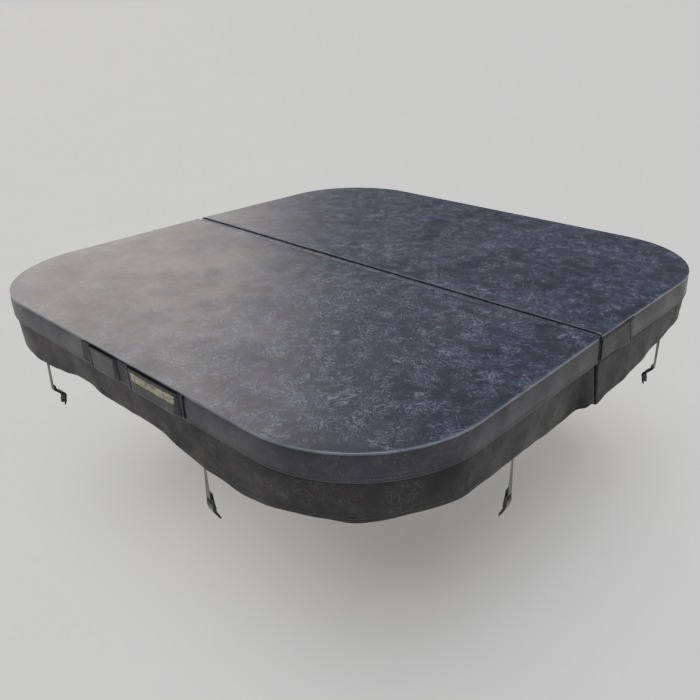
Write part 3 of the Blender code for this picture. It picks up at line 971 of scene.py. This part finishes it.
def handle(node, body, ends, loops, heights, place, upright=False):
    """A grip strip; an upright one has its rows of stitches and creases running up it."""
    low, high = heights
    columns = round((ends[1] - ends[0]) / HANDLE_STEP) + 1
    verts, uvs, wear_and_painted_light_amounts = [], [], []
    for share, rise in HANDLE_ROWS:
        for i in range(columns):
            run = ends[0] + (ends[1] - ends[0]) * i / (columns - 1)
            z = low + (high - low) * share - 0.0008 * bow_at(run, loops) * share
            verts.append(place(run, handle_off(run, share, loops, upright) + rise, z))
            uvs.append((run, z))
            # painted shade in the sewn grooves and at the loops' creases
            wear_and_painted_light_amounts.append(min(1.0, 0.7 * groove_at(run, share, loops, upright)
                             + crease_at(run, share, loops, upright)))
    obj = mesh_object(node + "_strip", verts, grid_faces(len(HANDLE_ROWS), columns), uvs, wear_and_painted_light_amounts)
    face_towards(obj, place(0, 1, 0) - place(0, 0, 0))
    thicken(obj, HANDLE_THICK)
    place_piece(obj, body, HANDLE_VINYL, "side_vinyl", node)


def patch():
    """A plain woven patch on the long loop."""
    start, length, low, high, rows, columns = 0.104, 0.206, 0.0430, 0.0665, 8, 60
    verts, uvs = [], []
    strip_low, strip_high = FRONT_HEIGHTS
    for row in range(rows):
        for i in range(columns):
            run = start + length * i / (columns - 1)
            edge = 0.0012 * wobble(run * 60, row * 0.2, 2.0)
            z = low + (high - low) * row / (rows - 1) + edge
            share = (z - strip_low) / (strip_high - strip_low)
            lift = 0.0034 + 0.0005 * wobble(run * 40, z * 90, 5.0)
            verts.append(on_front(run, handle_off(run, share, FRONT_LOOPS, True) + lift, z))
            uvs.append((run, z))
    obj = mesh_object("handle_patch", verts, grid_faces(rows, columns), uvs)
    face_towards(obj, (0, -1, 0))
    thicken(obj, 0.0007)
    place_piece(obj, "front_half", PATCH_CLOTH, "patch", "front_handle_patch")


handle("front_handle", "front_half", FRONT_ENDS, FRONT_LOOPS, FRONT_HEIGHTS, on_front, True)
handle("back_right_handle", "back_half", SIDE_ENDS, SIDE_LOOPS, SIDE_HEIGHTS, on_right)
handle("back_left_handle", "back_half", SIDE_ENDS, SIDE_LOOPS, SIDE_HEIGHTS, on_left)
patch()


# ---- stitching ----
class Thread:
    """Rows of short raised stitches, collected into one mesh."""

    LENGTH, PITCH, RADIUS = 0.0052, 0.0080, 0.00055

    def __init__(self):
        self.verts, self.faces = [], []

    def stitch(self, at, along, normal):
        """One stitch: a four-sided bar with pointed ends."""
        across = along.cross(normal).normalized()
        start = len(self.verts)
        half, r = along * (self.LENGTH / 2), self.RADIUS
        self.verts += [at - half, at + half]
        for share in (-0.55, 0.55):
            for n, a in ((1, 0), (0, 1), (-1, 0), (0, -1)):
                self.verts.append(at + half * share + (normal * n + across * a) * r)
        near, far = start + 2, start + 6
        for i in range(4):
            j = (i + 1) % 4
            self.faces += [(start, near + j, near + i), (start + 1, far + i, far + j),
                           (near + i, near + j, far + j, far + i)]

    def row(self, points, normal_at):
        """Stitches at equal steps along a line of points."""
        left = self.PITCH / 2
        for a, b in zip(points, points[1:]):
            length = (b - a).length
            if length < 1e-7:
                continue
            along = (b - a) / length
            while left < length:
                at = a + along * left
                self.stitch(at, along, normal_at(at))
                left += self.PITCH
            left -= length

    def piece(self, name, body):
        obj = mesh_object(name, self.verts, self.faces)
        agree_normals(obj)
        place_piece(obj, body, THREAD, "webbing")


def flat_out(spot):
    """The way out from the cover's side at a place on it."""
    x = max(0.0, abs(spot.x) - CORNER_CENTRE)
    y = max(0.0, abs(spot.y) - CORNER_CENTRE)
    out = Vector((copysign(x, spot.x), copysign(y, spot.y), 0))
    return out.normalized() if out.length else Vector((0, 0, 1))


SEAM_INSET, UNDER_INSET = 0.0080, 0.0072  # seams inside a cover's edge and a liner's edge
FOOT_SEAM_Z, HEM_SEAM = 0.0115, 0.90  # on the band's foot, and by share of the skirt's depth
FOLD_SEAMS = {"back": (0.0195, 0.0012), "front": (0.0100, 0.0008)}  # way in, and rise
BOX_OFF = 0.0040  # how far off the band a handle's stitches are


def half_stitching(half):
    """The seams round one half: top, fold, band's foot, skirt's hem and underside."""
    side = SIDES[half]
    thread = Thread()
    up = Vector((0, 0, 1))
    rim = outline(side, FOLD_Y + 0.012)
    seam = [Vector((*(p - o * SEAM_INSET), top_z(p.y) + 0.0001)) for p, o, _ in rim]
    thread.row(seam, lambda spot: up)
    way_in, rise = FOLD_SEAMS[half]
    y = side * (FOLD_Y + way_in)
    thread.row([Vector((x, y, top_z(y) + rise)) for x in (-0.97, 0.97)], lambda spot: up)
    thread.row([Vector((*(p - o * 0.0001), FOOT_SEAM_Z)) for p, o, _ in rim], flat_out)
    hem = outline(side, SKIRT_END[half] + 0.009)
    thread.row([skirt_point(half, p, o, run, HEM_SEAM) + Vector((*o, 0)) * 0.0002
                for p, o, run in hem], flat_out)
    under = [Vector((*(p - o * UNDER_INSET), -0.0008)) for p, o, _ in rim]
    thread.row(under, lambda spot: -up)
    return thread


# The boxes of stitches on each half's handles: each handle's runs, and their heights.
STITCH_BOXES = {
    "front": ((on_front,), ((-0.187, -0.143), (0.028, 0.069), (0.331, 0.336)), (0.012, 0.072)),
    "back": ((on_right, on_left), ((0.009, 0.082), (0.208, 0.218)), (0.010, 0.076)),
}


def stitching(half):
    thread = half_stitching(half)
    places, boxes, (bottom, top) = STITCH_BOXES[half]
    for place in places:
        out = (place(0, 1, 0) - place(0, 0, 0)).normalized()
        for low, high in boxes:
            corners = ((low, bottom), (high, bottom), (high, top), (low, top), (low, bottom))
            thread.row([place(run, BOX_OFF, z) for run, z in corners], lambda spot: out)
    thread.piece(half + "_stitching", half + "_half")


for half in SIDES:
    stitching(half)


# ---- straps and clips ----
STRAP_WIDTH, STRAP_THICK, LOOP_R, TAIL = 0.025, 0.0014, 0.0037, 0.016
FALL_STEPS, LOOP_STEPS, TAIL_STEPS = 28, 8, 5
DOWN = Vector((0, 0, -1))
INWARD = {"front": (0, 1), "back": (0, -1), "right": (-1, 0), "left": (1, 0)}
# How far each strap is twisted half way down and at its clip, in degrees, and the clip's bend.
TWISTS = {"front_left": (-3, 0, "out"), "front_right": (-20, -8, "down"),
          "right_front": (20, 8, "down"), "right_back": (-4, 0, "out"),
          "back_left": (9, 4, "down"), "back_right": (-12, -5, "out"),
          "left_front": (-10, -6, "out"), "left_back": (14, 6, "down")}
STRAP_FACE = ((-1.0, 0.0), (-0.985, 0.7), (-0.93, 1.0), (-0.5, 1.0), (0.0, 1.0), (0.5, 1.0),
              (0.93, 1.0), (0.985, 0.7))
STRAP_SECTION = STRAP_FACE + tuple((-across, -out) for across, out in STRAP_FACE)


def joint_place(name):
    """Where a joint's axis is at rest."""
    return Vector(next(j for j in frame["joints"] if j["name"] == name)["pos_m"])


def strap(tag):
    """Webbing from the seam down to the clip's bar, round it, and a little way back up."""
    top, bar = joint_place("strap_" + tag), joint_place("clip_" + tag)
    inward = Vector((*INWARD[tag.split("_")[0]], 0))
    mid_twist, end_twist, _ = TWISTS[tag]
    seed = len(tag) * 1.7 + top.x * 3 + top.y
    leg = LOOP_R + STRAP_THICK / 2
    path = []  # (place, inward direction there, normal)
    fall = top.z - bar.z
    for i in range(FALL_STEPS + 1):
        share = i / FALL_STEPS
        twist = through(((0.0, 0.0), (0.55, mid_twist), (1.0, end_twist)), share)
        turned = Matrix.Rotation(radians(twist), 3, "Z") @ inward
        start = top + inward * (STRAP_THICK / 2) + DOWN * (fall * share)
        end = bar - (Matrix.Rotation(radians(end_twist), 3, "Z") @ inward) * leg
        spot = start.lerp(Vector((end.x, end.y, start.z)), smooth(share, 0.1, 1.0))
        sway = sin(pi * share)  # each strap sways a little in its own way
        spot += turned * (0.004 * sway * sin(seed * 2.3 + 1))
        spot += turned.cross(DOWN) * (0.003 * sway * sin(seed * 3.1))
        path.append((spot, turned, -turned))
    turned = path[-1][1]
    for i in range(1, LOOP_STEPS + 1):
        angle = pi * i / LOOP_STEPS
        normal = -turned * cos(angle) + DOWN * sin(angle)
        path.append((bar + normal * leg, turned, normal))
    for i in range(1, TAIL_STEPS + 1):
        share = i / TAIL_STEPS
        spot = bar + turned * (leg - 0.0016 * share) - DOWN * (TAIL * share)
        path.append((spot, turned, turned))
    verts, uvs = [], []
    run = 0.0
    for n, (spot, turned, normal) in enumerate(path):
        if n:
            run += (spot - path[n - 1][0]).length
        across = turned.cross(DOWN).normalized()
        for a, b in STRAP_SECTION:
            verts.append(spot + across * (a * STRAP_WIDTH / 2) + normal * (b * STRAP_THICK / 2))
            uvs.append((a * STRAP_WIDTH / 2, run))
    count = len(STRAP_SECTION)
    faces = grid_faces(len(path), count, closed=True)
    faces += [list(range(count))[::-1], list(range(len(verts) - count, len(verts)))]
    obj = mesh_object("webbing_" + tag, verts, faces, uvs)
    agree_normals(obj)
    obj.data.set_sharp_from_angle(angle=radians(50))
    place_piece(obj, "strap_" + tag, WEBBING, "webbing", "strap_" + tag)


def rounded(points, radius, steps=4):
    """A closed outline with its corners rounded."""
    made = []
    for i, point in enumerate(points):
        here = Vector(point)
        before, after = Vector(points[i - 1]) - here, Vector(points[(i + 1) % len(points)]) - here
        reach = min(radius, 0.45 * before.length, 0.45 * after.length)
        a, b = here + before.normalized() * reach, here + after.normalized() * reach
        for n in range(steps + 1):
            t = n / steps
            made.append(a.lerp(here, t).lerp(here.lerp(b, t), t))
    return made


# The clip in plan, across and down from the bar that the webbing goes round.
CLIP_SIDE = mm((3.4, 74.5), (4.4, 43.0), (9.5, 42.0), (10.8, 65.0), (8.6, 79.5), (14.2, 80.0),
               (18.8, 63.5), (16.2, 60.5), (16.8, 41.0), (19.0, 38.0), (19.0, -2.1))
CLIP_HOLES = mm((2.1, 8.5), (12.5, 17.5))  # each hole's start and end on the way down
HOLE_REACH = 0.0138
# By the way down from the bar: how a clip leans, in degrees, and how its thickness varies.
CLIP_BENDS = {
    "out": ((0.000, 20), (0.007, 50), (0.031, 50), (0.047, -10), (0.080, -12)),
    "down": ((0.000, 2), (0.036, 4), (0.052, 28), (0.080, 24)),
}
CLIP_THICKNESS = ((0.000, 1.35), (0.018, 2.0), (0.030, 2.7), (0.042, 2.2), (0.062, 1.8),
                  (0.080, 1.3))
CLIP_STEPS, CLIP_STEP = 82, 0.001  # along the clip's bent centre line
CUTS, CUT_PITCH = 27, 0.003  # across the flat clip, so that it can bend


def flat_clip():
    """The clip's plan with its holes, as a rounded plate; X is across it and Y down it."""
    left = [(-across, down) for across, down in reversed(CLIP_SIDE)]
    outlines = [rounded(list(CLIP_SIDE) + left, 0.0022)]
    for low, high in CLIP_HOLES:
        outlines.append(rounded([(-HOLE_REACH, low), (HOLE_REACH, low), (HOLE_REACH, high),
                                 (-HOLE_REACH, high)], 0.0012))
    curve = bpy.data.curves.new("clip_plan", "CURVE")
    curve.dimensions = "2D"
    curve.fill_mode = "BOTH"
    curve.extrude = 0.0012
    curve.bevel_depth = 0.0008
    curve.bevel_resolution = 2
    curve.offset = -0.0008
    for plan in outlines:
        spline = curve.splines.new("POLY")
        spline.points.add(len(plan) - 1)
        spline.use_cyclic_u = True
        for point, spot in zip(spline.points, plan):
            point.co = (spot.x, spot.y, 0, 1)
    holder = new_object("clip_plan", curve)
    mesh = evaluated_mesh(holder)
    bpy.data.objects.remove(holder, do_unlink=True)
    return mesh


def clip(tag):
    """A side-release clip, cut across and bent along its length, hung on its strap's bar."""
    mesh = flat_clip()
    obj = new_object("buckle_" + tag, mesh)
    bm = bmesh.new()
    bm.from_mesh(mesh)
    bmesh.ops.remove_doubles(bm, verts=bm.verts, dist=0.00001)
    for i in range(1, CUTS + 1):
        bmesh.ops.bisect_plane(bm, geom=bm.verts[:] + bm.edges[:] + bm.faces[:],
                               plane_co=(0, i * CUT_PITCH - 0.001, 0), plane_no=(0, 1, 0))
    bar = joint_place("clip_" + tag)
    _, end_twist, bend = TWISTS[tag]
    inward = Matrix.Rotation(radians(end_twist), 3, "Z") @ Vector(
        (*INWARD[tag.split("_")[0]], 0))
    across = inward.cross(DOWN).normalized()

    def lean(way_down):
        angle = radians(through(CLIP_BENDS[bend], way_down))
        return Vector((sin(angle), cos(angle)))

    centreline = [Vector((0, 0))]
    for i in range(CLIP_STEPS):
        centreline.append(centreline[-1] + lean((i + 0.5) * CLIP_STEP) * CLIP_STEP)
    for vert in bm.verts:
        u, v, w = vert.co
        place = clamp(v / CLIP_STEP, 0, CLIP_STEPS - 0.001)
        low = int(place)
        leaning = lean(v)
        middle = leaning * v if v < 0 else centreline[low].lerp(centreline[low + 1], place - low)
        normal = DOWN * leaning.x - inward * leaning.y
        vert.co = (bar + inward * middle.x + DOWN * middle.y + across * u
                   + normal * (w * through(CLIP_THICKNESS, v)))
    bmesh.ops.recalc_face_normals(bm, faces=bm.faces)
    bm.to_mesh(mesh)
    bm.free()
    mesh.materials.clear()
    mesh.shade_smooth()
    mesh.set_sharp_from_angle(angle=radians(45))
    place_piece(obj, "clip_" + tag, PLASTIC, "plastic", "clip_" + tag)


for tag in TWISTS:
    strap(tag)
    clip(tag)


# ---- the CAD pieces that stay, with new materials ----
for name, material in (("foam_core", FOAM), ("vapour_wrap", FILM), ("stiffener_channel", STEEL),
                       ("zip_slider", STEEL)):
    for half in SIDES:
        node = frame["nodes"][half + "_" + name]
        node.data.materials.clear()
        node.data.materials.append(material)


# ---- floor and light ----
FLOOR_Z, FLOOR_R = -0.95, 900
HORIZON = (1.15, 1.15, 1.15)  # as bright as the floor where the two meet
LOW_SKY, HIGH_SKY = (0.115, 0.12, 0.14), (0.27, 0.28, 0.29)


def stage():
    """A pale floor, far enough below the cover to leave only a soft shadow on it."""
    mat = Material("floor")
    tone = mat.spread(mat.noise(0.8, 4, 0.6), 0, 1)
    colour = mat.mix(tone, (0.88, 0.88, 0.88), (0.91, 0.91, 0.91))
    mesh = bpy.data.meshes.new("floor")
    bm = bmesh.new()
    bmesh.ops.create_circle(bm, cap_ends=True, radius=FLOOR_R, segments=96)
    bm.to_mesh(mesh)
    bm.free()
    floor = new_object("floor", mesh)
    floor.location.z = FLOOR_Z
    mesh.materials.append(mat.finish(colour, mat.spread(mat.noise(3, 3), 0.75, 0.85)))


def sun(name, direction, spread, power, colour):
    """A wide, soft light from one direction; spread is its width in the sky, in degrees."""
    data = bpy.data.lights.new(name, "SUN")
    data.energy = power
    data.angle = radians(spread)
    data.color = colour
    light = new_object(name, data)
    light.rotation_euler = Vector(direction).to_track_quat("Z", "Y").to_euler()


def from_sky(azimuth, elevation):
    """The direction of a place in the sky; azimuth is counted from +X towards +Y."""
    azimuth, elevation = radians(azimuth), radians(elevation)
    return cos(azimuth) * cos(elevation), sin(azimuth) * cos(elevation), sin(elevation)


def lighting():
    """A world that is bright at the horizon only, and three wide suns in place of softboxes."""
    world = bpy.data.worlds.new("world")
    world.use_nodes = True
    tree = world.node_tree
    height = add_node(tree, "SeparateXYZ", {"Vector": add_node(tree, "TexCoord")["Generated"]})["Z"]
    colour = HORIZON
    for start, end, sky in ((0.0, 0.09, LOW_SKY), (0.24, 0.55, HIGH_SKY)):
        share = add_node(tree, "MapRange", {"Value": height, "From Min": start, "From Max": end})
        colour = add_node(tree, "Mix", {0: share["Result"], 6: colour, 7: sky},
                          data_type="RGBA")[2]
    tree.links.new(colour, tree.nodes["Background"].inputs["Color"])
    bpy.context.scene.world = world
    sun("key", from_sky(-66, 68), 50, 3.0, (1.0, 0.99, 0.98))
    sun("glare", from_sky(170, 21), 55, 1.72, (1.0, 0.90, 0.78))
    sun("side", from_sky(22, 24), 60, 0.65, (1.0, 0.93, 0.86))


stage()
lighting()
